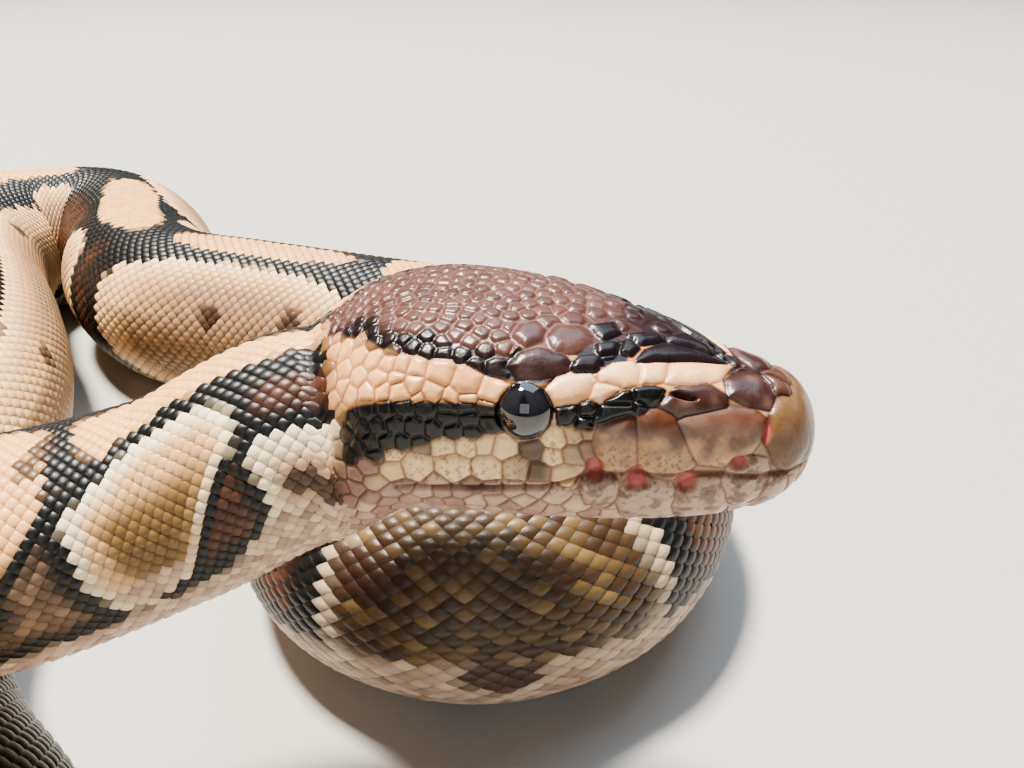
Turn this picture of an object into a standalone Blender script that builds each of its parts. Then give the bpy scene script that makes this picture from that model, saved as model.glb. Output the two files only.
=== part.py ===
"""A coiled ball python at life size: head, jaw, eyes, neck, seven lengths of trunk, and tail.

The body is one tube carried along a route over the floor (z = 0), parted by thin cuts into the
lengths that a keeper would name. Shapes are worked out in millimetres and written in metres.
"""
import math

import bmesh
import bpy
import numpy as np
from mathutils import Matrix, Vector

MM = 0.001
PARTING = 0.5                 # width of each thin cut along the body
FACETS = 22                   # sides of the tube
RING_STEP = 8.6               # distance between two rings of the tube
TAIL_POINT = 1.2              # length of the cone that ends the tail
SQUAT = 0.95                  # centre height of the resting body, over its own radius

COIL_MIDDLE = (-69.1, 124.79)  # middle of the whole coil on the floor, which becomes the origin

# Head: its length, where its middle stands on the mouth line, and how it turns
HEAD_LENGTH = 51.0
HEAD_REAR = 50.5              # last ring of the head, behind the snout tip
BEND_START = 36.0             # where the rear of the head begins to turn with the neck
NAPE_TURN = math.radians(28)
NAPE_UP = -3.3                # middle of that ring over the mouth line
NAPE_RADIUS = 12.0
HEAD_MIDDLE = (3.9, 72.6, 58.6)
HEAD_YAW = math.radians(-14)
HEAD_ROLL = math.radians(3)
NOSE_POINT = 0.8              # the snout's rounded front stands this far before its first ring
NOSE_UP = 1.6
JAW_END = 41.0
MOUTH_GAP = 0.45
EYE_RADIUS = 3.0
EYE_SEAT_GAP = 0.35
EYE_BACK = 26.0               # eye centre behind the snout tip
EYE_SIDE = 10.0               # eye centre beside the middle plane
EYE_UP = 7.8                  # eye centre over the mouth line

# Route of the backbone from the head to the tail tip, as (x, y, z, radius); z of None lies on the floor
NECK_ROUTE = [
    (-37, 71.6, 48.9, 11.8), (-52, 66.0, 46.6, 12.4), (-77, 58.6, 47.6, 12.6), (-100, 51.5, 42.6, 13.3),
]
FRONT_LOOP = [
    (-116, 37, 32, 14.2), (-119, 18, 21.5, 15.0), (-108, 2, None, 15.6),
    (-88, -4, None, 16.0), (-68, 3, None, 16.4), (-56, 20, None, 16.6), (-57, 41, None, 16.8),
]
LEFT_COIL = [
    (-75, 59, None, 17.2), (-93, 79, None, 18.6), (-102, 101, None, 20.0), (-107, 124, None, 21.0),
    (-117, 148, None, 21.8), (-131, 172, None, 22.0), (-146, 195, None, 22.0),
]
HAIRPIN = [
    (-156, 219, None, 21.8), (-150, 241, None, 21.5), (-129, 248, None, 21.0), (-112, 232, None, 20.6),
    (-102, 210, None, 20.4),
]
BACK_COIL = [
    (-86, 193, None, 20.2), (-63, 184.5, None, 20.0), (-39, 176.5, None, 19.8), (-19, 169.5, None, 19.6),
]
UNDER_HEAD = [
    (-1, 161, None, 19.4), (11, 148, None, 19.2), (19.5, 132, None, 19.0), (20, 115, None, 18.8),
    (11, 100, None, 18.6), (-5, 93.6, None, 18.4), (-21, 98.5, None, 17.6),
]
TAIL_CURL = [
    (-32, 112, None, 15.6), (-35, 126.5, None, 12.6), (-28, 137, None, 9.4), (-15.5, 139.5, None, 6.8),
    (-5.5, 134, None, 4.6), (-2.5, 125, None, 2.9), (-6.5, 118, None, 1.6),
]

# Lengths of the trunk: name, and how far behind the head each one ends
LENGTHS = [
    ("neck", 96), ("trunk_1", 178), ("trunk_2", 262), ("trunk_3", 352), ("trunk_4", 447),
    ("trunk_5", 541), ("trunk_6", 640), ("trunk_7", 738), ("tail", None),
]

SCALE_TAN = (0.45, 0.29, 0.14)
SCALE_BROWN = (0.11, 0.055, 0.028)
LIP_PINK = (0.55, 0.38, 0.30)
EYE_BLACK = (0.004, 0.004, 0.006)


def clear_scene():
    """Start from an empty file."""
    for item in list(bpy.data.objects):
        bpy.data.objects.remove(item, do_unlink=True)


def finish(name, colour, roughness):
    """Principled material of one sub-part."""
    material = bpy.data.materials.new(name)
    material.use_nodes = True
    shader = material.node_tree.nodes["Principled BSDF"]
    shader.inputs["Base Color"].default_value = (*colour, 1.0)
    shader.inputs["Roughness"].default_value = roughness
    shader.inputs["Metallic"].default_value = 0.0
    return material


def make_object(name, rings, caps, material):
    """Closed loft through rings of equal count; a cap is a middle point, or None for a flat face."""
    mesh = bmesh.new()
    loops = [[mesh.verts.new(Vector(point) * MM) for point in ring] for ring in rings]
    count = len(loops[0])
    for near, far in zip(loops, loops[1:]):
        for i in range(count):
            j = (i + 1) % count
            mesh.faces.new((near[i], near[j], far[j], far[i]))
    for loop, cap in ((loops[0], caps[0]), (loops[-1], caps[1])):
        if cap is None:
            mesh.faces.new(loop)
            continue
        middle = mesh.verts.new(Vector(cap) * MM)
        for i in range(count):
            mesh.faces.new((loop[i], loop[(i + 1) % count], middle))
    bmesh.ops.recalc_face_normals(mesh, faces=mesh.faces[:])
    bmesh.ops.triangulate(mesh, faces=mesh.faces[:])
    data = bpy.data.meshes.new(name)
    mesh.to_mesh(data)
    mesh.free()
    data.materials.append(material)
    data.shade_smooth()
    made = bpy.data.objects.new(name, data)
    bpy.context.collection.objects.link(made)
    return made


def head_frame(back):
    """Frame at a distance behind the snout tip: x points to the snout, y to the far side, z up.

    The axis is straight as far as BEND_START, then an arc that turns by NAPE_TURN to the last ring.
    """
    turn = NAPE_TURN * max(0.0, back - BEND_START) / (HEAD_REAR - BEND_START)
    arc_radius = (HEAD_REAR - BEND_START) / NAPE_TURN
    x = HEAD_LENGTH / 2 - min(back, BEND_START) - arc_radius * math.sin(turn)
    y = -arc_radius * (1 - math.cos(turn))
    head = Matrix.Rotation(HEAD_YAW, 4, "Z") @ Matrix.Rotation(HEAD_ROLL, 4, "X")
    return (Matrix.Translation(Vector(HEAD_MIDDLE)) @ head @ Matrix.Translation((x, y, 0))
            @ Matrix.Rotation(turn, 4, "Z"))


def backbone():
    """Smooth curve through the route: distance, point and radius at fine steps, as arrays."""
    place = head_frame(HEAD_REAR)
    nape = place @ Vector((-PARTING, 0, NAPE_UP))
    backwards = place.to_3x3() @ Vector((-1, 0, 0))
    stations = [(*nape, NAPE_RADIUS)]
    for stretch in (NECK_ROUTE, FRONT_LOOP, LEFT_COIL, HAIRPIN, BACK_COIL, UNDER_HEAD, TAIL_CURL):
        for x, y, z, radius in stretch:
            stations.append((x, y, SQUAT * radius if z is None else z, radius))
    route = np.array(stations, float)
    chord = np.r_[0, np.cumsum(np.linalg.norm(np.diff(route[:, :3], axis=0), axis=1))]
    slope = np.gradient(route, chord, axis=0)
    slope[0, :3] = backwards
    at = np.linspace(0, chord[-1], 1600)
    i = np.clip(np.searchsorted(chord, at, side="right") - 1, 0, len(chord) - 2)
    span = (chord[i + 1] - chord[i])[:, None]
    t = (at[:, None] - chord[i][:, None]) / span
    curve = ((2 * t**3 - 3 * t**2 + 1) * route[i] + (t**3 - 2 * t**2 + t) * span * slope[i]
             + (3 * t**2 - 2 * t**3) * route[i + 1] + (t**3 - t**2) * span * slope[i + 1])
    walked = np.r_[0, np.cumsum(np.linalg.norm(np.diff(curve[:, :3], axis=0), axis=1))]
    return walked, curve


def body_rings(walked, curve, start, end):
    """Rings from one distance to another, square to the backbone, flattened where they meet z = 0."""
    count = max(2, int(round((end - start) / RING_STEP)) + 1)
    tangent = np.gradient(curve[:, :3], walked, axis=0)
    rings = []
    for distance in np.linspace(start, end, count):
        middle = np.array([np.interp(distance, walked, curve[:, k]) for k in range(4)])
        ahead = np.array([np.interp(distance, walked, tangent[:, k]) for k in range(3)])
        ahead /= np.linalg.norm(ahead)
        side = np.cross(ahead, (0, 0, 1))
        side /= np.linalg.norm(side)
        up = np.cross(side, ahead)
        ring = []
        for facet in range(FACETS):
            angle = 2 * math.pi * (facet + 0.5) / FACETS
            point = middle[:3] + middle[3] * (math.cos(angle) * side + math.sin(angle) * up)
            ring.append((point[0], point[1], max(point[2], 0.0)))
        rings.append(ring)
    return rings


def body_lengths(walked, curve, scales):
    """Neck, trunk and tail, each a closed tube that ends a parting cut short of the next."""
    start = 0.0
    for name, end in LENGTHS:
        stop = walked[-1] if end is None else end
        rings = body_rings(walked, curve, start, stop)
        tip = None
        if end is None:
            outwards = curve[-1, :3] - curve[-12, :3]
            tip = tuple(curve[-1, :3] + TAIL_POINT * outwards / np.linalg.norm(outwards))
        make_object(name, rings, (None, tip), scales)
        start = stop + PARTING


# Head outline by distance behind the snout tip: half width, crown height, chin depth, squareness
HEAD_STATIONS = [
    (0.0, 3.4, 5.2, -2.2, 2.4), (1.2, 4.9, 6.8, -3.6, 2.5), (3.5, 6.4, 7.9, -5.0, 2.6),
    (8.0, 8.0, 9.0, -6.2, 2.7), (14.0, 9.7, 10.8, -6.9, 2.9), (20.0, 11.0, 12.4, -7.2, 3.0),
    (26.0, 12.1, 13.6, -7.4, 3.0), (33.0, 13.4, 14.2, -7.6, 2.8), (40.0, 14.3, 13.8, -8.6, 2.5),
    (45.0, 14.0, 12.2, -11.4, 2.3), (48.0, 13.0, 10.3, -13.6, 2.1), (50.5, 12.2, 8.6, -15.2, 2.0),
]


def head_rings(facets=32):
    """Rings of the whole head, each a rounded box between the crown and the chin."""
    table = np.array(HEAD_STATIONS)
    rings = []
    for back in np.concatenate([np.linspace(0, 8, 6), np.linspace(11, HEAD_REAR, 14)]):
        wide, crown, chin, square = (np.interp(back, table[:, 0], table[:, k]) for k in range(1, 5))
        middle = (crown + chin) / 2
        half = (crown - chin) / 2
        ring = []
        for facet in range(facets):
            angle = 2 * math.pi * (facet + 0.5) / facets
            c, s = math.cos(angle), math.sin(angle)
            y = wide * math.copysign(abs(c) ** (2 / square), c)
            z = middle + half * math.copysign(abs(s) ** (2 / square), s)
            ring.append(head_frame(back) @ Vector((0, y, z)))
        rings.append(ring)
    return rings


def cutter(name, points, width=20):
    """Prism across the head with the given outline (distance behind the snout, height)."""
    sides = [[head_frame(back) @ Vector((0, y, z)) for back, z in points] for y in (-width, width)]
    tool = make_object(name, sides, (None, None), finish(name, (1, 1, 1), 0.5))
    tool.hide_render = True
    tool.display_type = "WIRE"
    return tool


def cut(target, tool, operation):
    """Boolean modifier with the exact solver."""
    modifier = target.modifiers.new(tool.name, "BOOLEAN")
    modifier.operation = operation
    modifier.solver = "EXACT"
    modifier.object = tool


def mouth_line(back):
    """Height of the mouth line: it dips at the lip, and rises a little under the eye."""
    return 0.5 * math.sin(math.pi * back / 26) - 0.6 * math.exp(-back / 4)


def ball(name, centre, radius, material, segments=20, rings=12):
    """Sphere with its place in its mesh."""
    mesh = bmesh.new()
    bmesh.ops.create_uvsphere(mesh, u_segments=segments, v_segments=rings, radius=radius * MM,
                              matrix=Matrix.Translation(Vector(centre) * MM))
    bmesh.ops.triangulate(mesh, faces=mesh.faces[:])
    data = bpy.data.meshes.new(name)
    mesh.to_mesh(data)
    mesh.free()
    data.materials.append(material)
    data.shade_smooth()
    made = bpy.data.objects.new(name, data)
    bpy.context.collection.objects.link(made)
    return made


def head_and_jaw(scales, lip, eye_finish):
    """Head, lower jaw and both eyes."""
    rings = head_rings()
    nose = head_frame(0) @ Vector((NOSE_POINT, 0, NOSE_UP))
    head = make_object("head", rings, (tuple(nose), None), scales)
    jaw = make_object("jaw", rings, (tuple(nose), None), lip)
    line = [(back, mouth_line(back)) for back in np.linspace(-4, JAW_END, 14)]
    below = line + [(JAW_END, -20), (-4, -20)]
    keep = [(b, z - MOUTH_GAP) for b, z in line[:-1]]
    last = (JAW_END - MOUTH_GAP, line[-1][1] - MOUTH_GAP)
    cut(head, cutter("mouth_opening", below), "DIFFERENCE")
    region = keep + [last, (JAW_END - MOUTH_GAP, -20), (-4, -20)]
    cut(jaw, cutter("jaw_region", region), "INTERSECT")
    for name, side in (("eye_right", -1), ("eye_left", 1)):
        centre = head_frame(EYE_BACK) @ Vector((0, side * EYE_SIDE, EYE_UP))
        ball(name, centre, EYE_RADIUS, eye_finish)
        seat = ball(name + "_seat", centre, EYE_RADIUS + EYE_SEAT_GAP, scales)
        seat.hide_render = True
        seat.display_type = "WIRE"
        cut(head, seat, "DIFFERENCE")


def centre_on_floor():
    """Shift every mesh so that the middle of the coil stands over the origin."""
    shift = Matrix.Translation(Vector((-COIL_MIDDLE[0], -COIL_MIDDLE[1], 0)) * MM)
    for item in bpy.data.objects:
        item.data.transform(shift)


def main():
    """Build the whole snake."""
    clear_scene()
    scales = finish("python_scales", SCALE_TAN, 0.45)
    walked, curve = backbone()
    body_lengths(walked, curve, scales)
    head_and_jaw(finish("head_scales", SCALE_BROWN, 0.35), finish("lip_scales", LIP_PINK, 0.4),
                 finish("eye_black", EYE_BLACK, 0.05))
    centre_on_floor()
    print("length in mm:", round(walked[-1] + HEAD_LENGTH, 1))


main()
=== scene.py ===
import math

import bpy
import numpy as np
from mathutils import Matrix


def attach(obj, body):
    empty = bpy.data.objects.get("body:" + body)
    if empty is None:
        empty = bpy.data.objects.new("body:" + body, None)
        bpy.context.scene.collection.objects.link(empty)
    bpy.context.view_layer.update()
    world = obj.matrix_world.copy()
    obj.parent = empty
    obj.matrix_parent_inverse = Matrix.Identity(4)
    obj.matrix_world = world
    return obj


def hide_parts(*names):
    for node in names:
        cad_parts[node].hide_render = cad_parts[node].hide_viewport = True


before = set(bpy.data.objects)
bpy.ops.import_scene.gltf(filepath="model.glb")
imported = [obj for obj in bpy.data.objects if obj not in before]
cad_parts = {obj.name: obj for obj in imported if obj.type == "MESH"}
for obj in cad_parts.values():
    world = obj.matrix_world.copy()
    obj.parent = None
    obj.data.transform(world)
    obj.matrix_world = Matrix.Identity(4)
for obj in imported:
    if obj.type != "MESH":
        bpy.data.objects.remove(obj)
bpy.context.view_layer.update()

# ---- Floor, light and camera. A plain pale floor under soft studio boxes: a warm key box high on
# the left, a cool sky box overhead, and a weak fill from the camera's side.
MM = 0.001
CAMERA_PLACE = (69.1, -124.8, 103.0)  # mm, in the part's frame
CAMERA_DOWN = math.radians(29)
LENS = 28.27  # mm on a 36 mm wide sensor
HEAD_AIM = (0.07, -0.05, 0.06)  # m; each light is turned to it
FLOOR_HALF = 4  # m


def new_object(name, data):
    """Object of the given data, in the scene."""
    made = bpy.data.objects.new(name, data)
    bpy.context.collection.objects.link(made)
    return made


def studio_box(name, place, size, watts, tint):
    """Square area light at place, turned to the head."""
    data = bpy.data.lights.new(name, "AREA")
    data.size, data.energy, data.color = size, watts, tint
    light = new_object(name, data)
    way = np.array(place) - np.array(HEAD_AIM)
    light.location = place
    light.rotation_euler = (math.acos(way[2] / np.linalg.norm(way)), 0,
                            math.atan2(way[1], way[0]) + math.pi / 2)


lens = bpy.data.cameras.new("camera")
lens.sensor_width, lens.lens, lens.clip_start = 36, LENS, 0.002
camera = new_object("camera", lens)
camera.location = [c * MM for c in CAMERA_PLACE]
camera.rotation_euler = (math.pi / 2 - CAMERA_DOWN, 0, 0)
bpy.context.scene.camera = camera

studio_box("key_box", (-0.62, 0.49, 2.86), 0.45, 560.0, (1.0, 0.92, 0.80))
studio_box("sky_box", (0.58, 1.34, 2.86), 2.7, 125.0, (0.62, 0.80, 1.0))
studio_box("fill_box", (-0.22, -2.76, 1.46), 1.8, 24.0, (0.86, 0.93, 1.0))

world = bpy.data.worlds.new("studio")
bpy.context.scene.world = world
world.use_nodes = True
background = world.node_tree.nodes["Background"].inputs
background["Color"].default_value = (0.80, 0.82, 0.85, 1)
background["Strength"].default_value = 0.09


class Sockets:
    """A shader value: + and * on it add Math nodes, and node() makes any other node."""

    def __init__(self, tree, socket=None):
        self.tree = tree
        self.socket = socket

    def node(self, kind, out=0, settings=(), **inputs):
        """New node: settings are set first, then inputs are linked or given their values."""
        made = self.tree.nodes.new("ShaderNode" + kind)
        for key, value in dict(settings).items():
            setattr(made, key, value)
        for key, value in inputs.items():
            slot = made.inputs[int(key[1:])] if key[1:].isdigit() else made.inputs[key]
            if isinstance(value, Sockets):
                self.tree.links.new(value.socket, slot)
            else:
                slot.default_value = value
        return Sockets(self.tree, made.outputs[out])

    def __add__(self, other):
        return self.node("Math", 0, {"operation": "ADD"}, i0=self, i1=other)

    def __mul__(self, other):
        return self.node("Math", 0, {"operation": "MULTIPLY"}, i0=self, i1=other)

    __radd__ = __add__


def surface_material(name):
    """Empty Principled material, as (material, sockets, shader node)."""
    material = bpy.data.materials.new(name)
    material.use_nodes = True
    tree = material.node_tree
    return material, Sockets(tree), tree.nodes["Principled BSDF"]


def feed(shader, name, value):
    """Links a worked-out value to the shader's socket."""
    value.tree.links.new(value.socket, shader.inputs[name])


floor_finish, _, shader = surface_material("pale_floor")
shader.inputs["Base Color"].default_value = (0.40, 0.385, 0.36, 1)
shader.inputs["Roughness"].default_value = 0.85
floor_mesh = bpy.data.meshes.new("floor")
floor_mesh.from_pydata([(x * FLOOR_HALF, y * FLOOR_HALF, 0) for x, y in ((-1, -1), (1, -1), (1, 1), (-1, 1))],
                       [], [(0, 1, 2, 3)])
floor_mesh.materials.append(floor_finish)
floor = new_object("floor", floor_mesh)

# ---- Form of the snake. One surface runs from the snout to the tail tip: each place on it is given
# by its distance behind the snout tip along the back, and its angle round the body from the middle
# of the back, positive on the snake's right. The route is the one that the solids follow.
HEAD_LENGTH = 51.0  # all lengths on the snake are in mm
SHIFT = (69.1, -124.79)  # from the route's own origin to the part's
HEAD_MIDDLE = (3.9 + SHIFT[0], 72.6 + SHIFT[1], 58.6)
HEAD_YAW = math.radians(-14)
HEAD_ROLL = math.radians(3)
BEND_START = 36.0  # the head's axis is straight up to here, then turns by NAPE_TURN
HEAD_REAR = 50.5  # where the head's sections end and the body's begin
NAPE_TURN = math.radians(28)
NAPE_UP = -3.3  # height of the backbone over the head's axis at the nape
SNOUT = -0.8  # distance where the snout's surface closes
SQUAT = 0.95  # height of a resting backbone over the floor, in body radii
HEAD_STATIONS, BODY_STATIONS = 420, 1600

# (x, y, z, radius) of the backbone in mm; a z of 0 stands for resting on the floor
ROUTE = np.array([
    (-37, 71.6, 48.9, 11.8), (-52, 66.0, 46.6, 12.4), (-77, 58.6, 47.6, 12.6), (-100, 51.5, 42.6, 13.3),
    (-116, 37, 32, 14.2), (-119, 18, 21.5, 15.0), (-108, 2, 0, 15.6), (-88, -4, 0, 16.0),
    (-68, 3, 0, 16.4), (-56, 20, 0, 16.6), (-57, 41, 0, 16.8),
    (-75, 59, 0, 17.2), (-93, 79, 0, 18.6), (-102, 101, 0, 20.0), (-107, 124, 0, 21.0),
    (-117, 148, 0, 21.8), (-131, 172, 0, 22.0), (-146, 195, 0, 22.0),
    (-156, 219, 0, 21.8), (-150, 241, 0, 21.5), (-129, 248, 0, 21.0), (-112, 232, 0, 20.6),
    (-102, 210, 0, 20.4),
    (-86, 193, 0, 20.2), (-63, 184.5, 0, 20.0), (-39, 176.5, 0, 19.8), (-19, 169.5, 0, 19.6),
    (-1, 161, 0, 19.4), (11, 148, 0, 19.2), (19.5, 132, 0, 19.0), (20, 115, 0, 18.8),
    (11, 100, 0, 18.6), (-5, 93.6, 0, 18.4), (-21, 98.5, 0, 17.6),
    (-32, 112, 0, 15.6), (-35, 126.5, 0, 12.6), (-28, 137, 0, 9.4), (-15.5, 139.5, 0, 6.8),
    (-5.5, 134, 0, 4.6), (-2.5, 125, 0, 2.9), (-6.5, 118, 0, 1.6)], float)
ROUTE[:, 2] = np.where(ROUTE[:, 2] == 0, SQUAT * ROUTE[:, 3], ROUTE[:, 2])
ROUTE[:, :2] += SHIFT

# Head by distance behind the snout tip: half width, crown height, chin depth, squareness
HEAD_FORM = np.array([
    (SNOUT, 6.0, 8.0, -5.1, 2.4), (1.2, 6.25, 8.15, -5.0, 2.5), (3.5, 6.7, 8.2, -5.2, 2.6),
    (8.0, 8.0, 9.0, -6.2, 2.7), (14.0, 9.7, 10.8, -6.9, 2.9), (20.0, 11.0, 12.4, -7.2, 3.0),
    (26.0, 12.1, 13.6, -7.4, 3.0), (33.0, 13.4, 14.2, -7.6, 2.8), (40.0, 14.3, 13.8, -8.6, 2.5),
    (45.0, 14.0, 12.2, -11.4, 2.3), (48.0, 13.0, 10.3, -13.6, 2.1), (50.5, 12.1, 8.6, -15.2, 2.0)])
SNOUT_ROUND = 6.5  # the snout is rounded over this length
SNOUT_POWER = 2.3  # how full that rounding is: 2 is a circle's
SNOUT_MIDDLE = 1.6  # height of the snout's middle over the mouth line


def smooth_table(at, places, values, first_slope=None):
    """Cubic through the table: each stretch is a Hermite curve whose slopes are central differences.

    first_slope, where it is given, is the slope of the first three columns at the start.
    """
    slope = np.gradient(values, places, axis=0)
    if first_slope is not None:
        slope[0, :3] = first_slope
    i = np.clip(np.searchsorted(places, at, side="right") - 1, 0, len(places) - 2)
    span = (places[i + 1] - places[i])[..., None]
    t = (at[..., None] - places[i][..., None]) / span
    return ((2 * t**3 - 3 * t**2 + 1) * values[i] + (t**3 - 2 * t**2 + t) * span * slope[i]
            + (3 * t**2 - 2 * t**3) * values[i + 1] + (t**3 - t**2) * span * slope[i + 1])


def walked_along(points):
    """Length of the path of points up to each of them."""
    return np.r_[0, np.cumsum(np.linalg.norm(np.diff(points, axis=0), axis=1))]


def head_axis(back):
    """Middle and frame (ahead, side, up) of the head: straight, then an arc that turns at the nape.

    Ahead is the way along the route, which runs to the tail.
    """
    turn = NAPE_TURN * np.maximum(0, back - BEND_START) / (HEAD_REAR - BEND_START)
    bend = (HEAD_REAR - BEND_START) / NAPE_TURN
    x = HEAD_LENGTH / 2 - np.minimum(back, BEND_START) - bend * np.sin(turn)
    y = -bend * (1 - np.cos(turn))
    cy, sy, cr, sr = math.cos(HEAD_YAW), math.sin(HEAD_YAW), math.cos(HEAD_ROLL), math.sin(HEAD_ROLL)
    to_world = np.array([[cy, -sy * cr, sy * sr], [sy, cy * cr, -cy * sr], [0, sr, cr]])
    zero = np.zeros_like(x)
    middle = np.stack([x, y, zero], -1) @ to_world.T + HEAD_MIDDLE
    ahead = np.stack([-np.cos(turn), -np.sin(turn), zero], -1) @ to_world.T
    side = np.stack([-np.sin(turn), np.cos(turn), zero], -1) @ to_world.T
    up = np.stack([zero, zero, zero + 1], -1) @ to_world.T
    return middle, ahead, side, up


def body_axis():
    """Backbone behind the nape: distance along it, middle, radius, ahead, side and up."""
    nape, back, _, up = (v[0] for v in head_axis(np.array([HEAD_REAR])))
    route = np.vstack([np.r_[nape + 0.5 * back + NAPE_UP * up, 12.0], ROUTE])
    chord = walked_along(route[:, :3])
    curve = smooth_table(np.linspace(0, chord[-1], BODY_STATIONS), chord, route, back)
    walked = walked_along(curve[:, :3])
    ahead = np.gradient(curve[:, :3], walked, axis=0)
    ahead /= np.linalg.norm(ahead, axis=1)[:, None]
    side = np.cross(ahead, (0, 0, 1))
    side /= np.linalg.norm(side, axis=1)[:, None]
    return walked + HEAD_REAR, curve[:, :3], curve[:, 3], ahead, side, np.cross(side, ahead)


def snout_closing(distance):
    """Share of the full section that the snout has: a rounded rise from 0 at its tip to 1."""
    share = np.clip((distance - SNOUT) / SNOUT_ROUND, 0, 1)
    return (1 - (1 - share) ** SNOUT_POWER) ** (1 / SNOUT_POWER)


def whole_axis():
    """Stations along the whole snake: distance, then middle, ahead, side, up and the section's four
    sizes (half width, height above and below the middle, squareness) as the columns of one array."""
    back = SNOUT + (HEAD_REAR - SNOUT) * np.linspace(0, 1, HEAD_STATIONS) ** 1.8
    form = smooth_table(back, HEAD_FORM[:, 0], HEAD_FORM[:, 1:])
    closing = snout_closing(back)
    form[:, 0] *= closing
    form[:, 1:3] = SNOUT_MIDDLE + (form[:, 1:3] - SNOUT_MIDDLE) * closing[:, None]
    middle, ahead, side, up = head_axis(back)
    head = np.hstack([middle, ahead, side, up, form])
    at, middle, radius, ahead, side, up = body_axis()
    round_form = np.stack([radius, radius, -radius, 0 * radius + 2], -1)
    body = np.hstack([middle, ahead, side, up, round_form])
    keep = at > HEAD_REAR + 0.3
    return np.r_[back, at[keep]], np.vstack([head, body[keep]])


stations, axis_table = whole_axis()
snake_length = stations[-1]


def half_width(distance):
    """Half width in mm of the snake."""
    return np.interp(distance, stations, axis_table[:, 12])


def on_snake(distance, angle, height):
    """Points (mm) at a distance behind the snout, an angle round the body, and a height over it.

    The section is a superellipse: across = w sin^(2/q), up = middle + h cos^(2/q). The height goes
    along the section's own normal, and nothing reaches below the floor.
    """
    distance, angle, height = np.broadcast_arrays(distance, angle, height)
    spot = np.clip(np.interp(distance, stations, np.arange(len(stations))), 0, len(stations) - 1.001)
    i = spot.astype(int)
    row = axis_table[i] + (axis_table[i + 1] - axis_table[i]) * (spot - i)[..., None]
    wide, crown, chin, square = (row[..., k] for k in range(12, 16))
    half = (crown - chin) / 2
    s, c = np.sin(angle), np.cos(angle)
    across = wide * np.sign(s) * np.abs(s) ** (2 / square)
    rise = (crown + chin) / 2 + half * np.sign(c) * np.abs(c) ** (2 / square)
    n_across = np.sign(s) * np.abs(s) ** (2 - 2 / square) / np.maximum(wide, 0.05)
    n_rise = np.sign(c) * np.abs(c) ** (2 - 2 / square) / np.maximum(half, 0.05)
    norm = np.sqrt(n_across**2 + n_rise**2) + 1e-9
    across = across + height * n_across / norm
    rise = rise + height * n_rise / norm
    place = row[..., :3] - row[..., 6:9] * across[..., None] + row[..., 9:12] * rise[..., None]
    place[..., 2] = np.maximum(place[..., 2], 0)
    return place


def smooth(low, high, value):
    """0 below low, 1 above high, and an S-shaped rise between them."""
    t = np.clip((value - low) / (high - low), 0, 1)
    return t * t * (3 - 2 * t)


def band(value, start, full, fade, end):
    """1 where value lies between full and fade, 0 outside start and end."""
    return smooth(start, full, value) * smooth(end, fade, value)


def mix(first, second, share):
    """Colours between first and second."""
    return first + (second - first) * np.asarray(share)[..., None]


def rgb(red, green, blue):
    """Linear colour from the usual 0 to 255 numbers."""
    return (np.array([red, green, blue]) / 255) ** 2.2


def level(distance, table):
    """Value of a two-column table at a distance."""
    return np.interp(distance, table[:, 0], table[:, 1])


def even_steps(start, end, step, turns):
    """Distances from start to end whose rings lie a step apart on the surface, on average."""
    fine = np.linspace(0, 1, 3000) ** 1.6 * (end - start) + start
    rings = on_snake(fine[:, None], np.radians(turns)[None], 0.0)
    walked = np.r_[0, np.cumsum(np.linalg.norm(np.diff(rings, axis=0), axis=2).mean(axis=1))]
    count = int(walked[-1] / step) + 1
    return np.interp(np.linspace(0, walked[-1], count), walked, fine)


# ---- Markings, shared by the skin and the scales. A ball python is near-black to brown, with pale
# ovals along its back and large tan blotches down each flank, rimmed with cream and open to the
# pale belly. On the head a pale stripe runs through the eye over a black one.
BLACK = rgb(9, 7, 9)
BROWN = rgb(75, 45, 31)
TAN = rgb(204, 158, 102)
GREY_TAN = rgb(158, 122, 88)
OLIVE = rgb(112, 82, 44)
CREAM = rgb(240, 218, 178)
PEACH = rgb(238, 172, 100)
BELLY = rgb(168, 138, 116)
CROWN = rgb(86, 57, 51)
CROWN_DARK = rgb(26, 18, 20)
PALE_STRIPE = rgb(232, 162, 98)
UNDER_EYE = rgb(226, 192, 134)
LIP_BROWN = rgb(100, 77, 66)
LIP_PALE = rgb(170, 130, 88)
# chin: its own pale pink, painted darker and redder as the shade under the jaw with warm bounce light
SHADED_CHIN = rgb(140, 105, 92)
PIT_RED = rgb(158, 70, 66)
NECK_BROWN = rgb(132, 104, 78)
# painted shadow: heart and rim colours for the blotches on the coil that the head shades
HEAD_SHADOW_HEART_DARK = rgb(58, 42, 27)
HEAD_SHADOW_HEART_OLIVE = rgb(100, 79, 47)
HEAD_SHADOW_RIM = rgb(170, 150, 122)
FRONT_PALE = rgb(172, 150, 108)
FRONT_BROWN = rgb(128, 112, 92)
CROWN_GROOVE = rgb(122, 84, 76)
CHIN_GROOVE = rgb(112, 70, 58)
LIP_LINE = rgb(96, 60, 52)
# painted shade inside the nostrils' openings
NOSTRIL_SHADE = rgb(70, 26, 24)

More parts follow.
